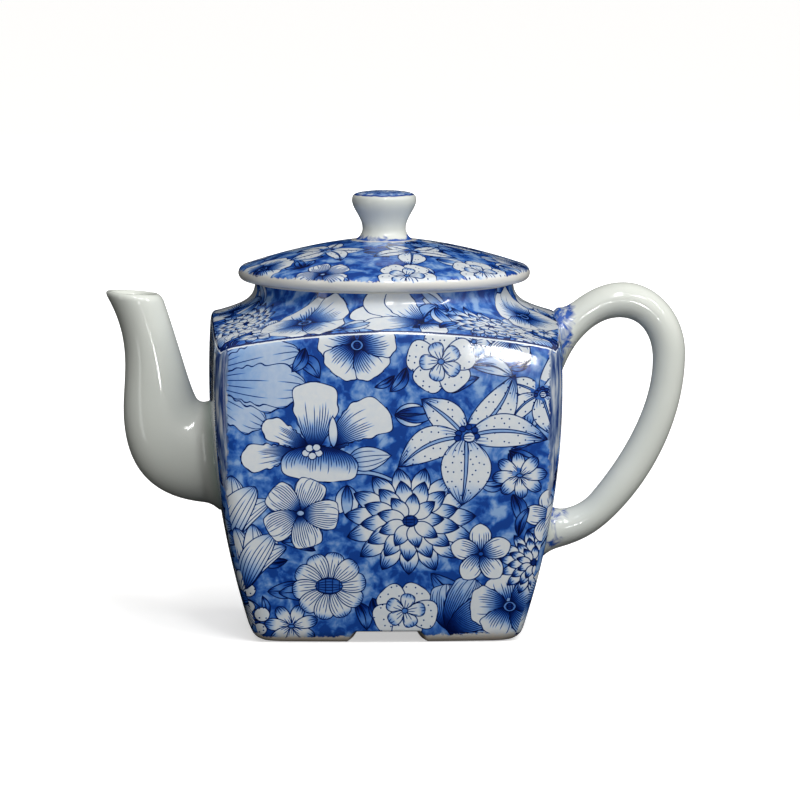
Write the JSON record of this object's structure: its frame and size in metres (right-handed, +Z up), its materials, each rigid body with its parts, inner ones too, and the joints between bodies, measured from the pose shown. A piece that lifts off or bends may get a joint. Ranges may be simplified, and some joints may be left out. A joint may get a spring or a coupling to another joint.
{
  "type": "teapot",
  "caption": "Square blue-and-white porcelain teapot with a rounded shoulder, an upswept spout, a looped side handle, corner feet and a round lift-off lid with a knob.",
  "frame": {"origin": "on the body's upright axis, at the level of the feet's bearing faces", "axes": "+Z up along the body's axis, +X from the spout towards the handle, -Y towards the front face"},
  "size_m": [0.1501, 0.0904, 0.1129],
  "materials": {
    "printed_porcelain": "clear gloss glaze over cobalt blue flower print on white porcelain",
    "celadon_glaze": "pale grey-green gloss glaze",
    "plain_porcelain": "white porcelain under clear gloss glaze"
  },
  "bodies": {
    "pot": {"body_shell": "printed_porcelain", "floor_slab": "plain_porcelain", "corner_feet": "printed_porcelain", "neck_collar": "printed_porcelain", "spout": "celadon_glaze", "spout_strainer": "plain_porcelain", "handle": "celadon_glaze"},
    "lid": {"lid_cap": "printed_porcelain", "lid_flange": "plain_porcelain", "knob": "celadon_glaze"}
  },
  "joints": [
    {"name": "lid_lift", "type": "slide", "parent": "pot", "child": "lid", "axis": [0, 0, 1], "range_m": [0, 0.05]}
  ]
}
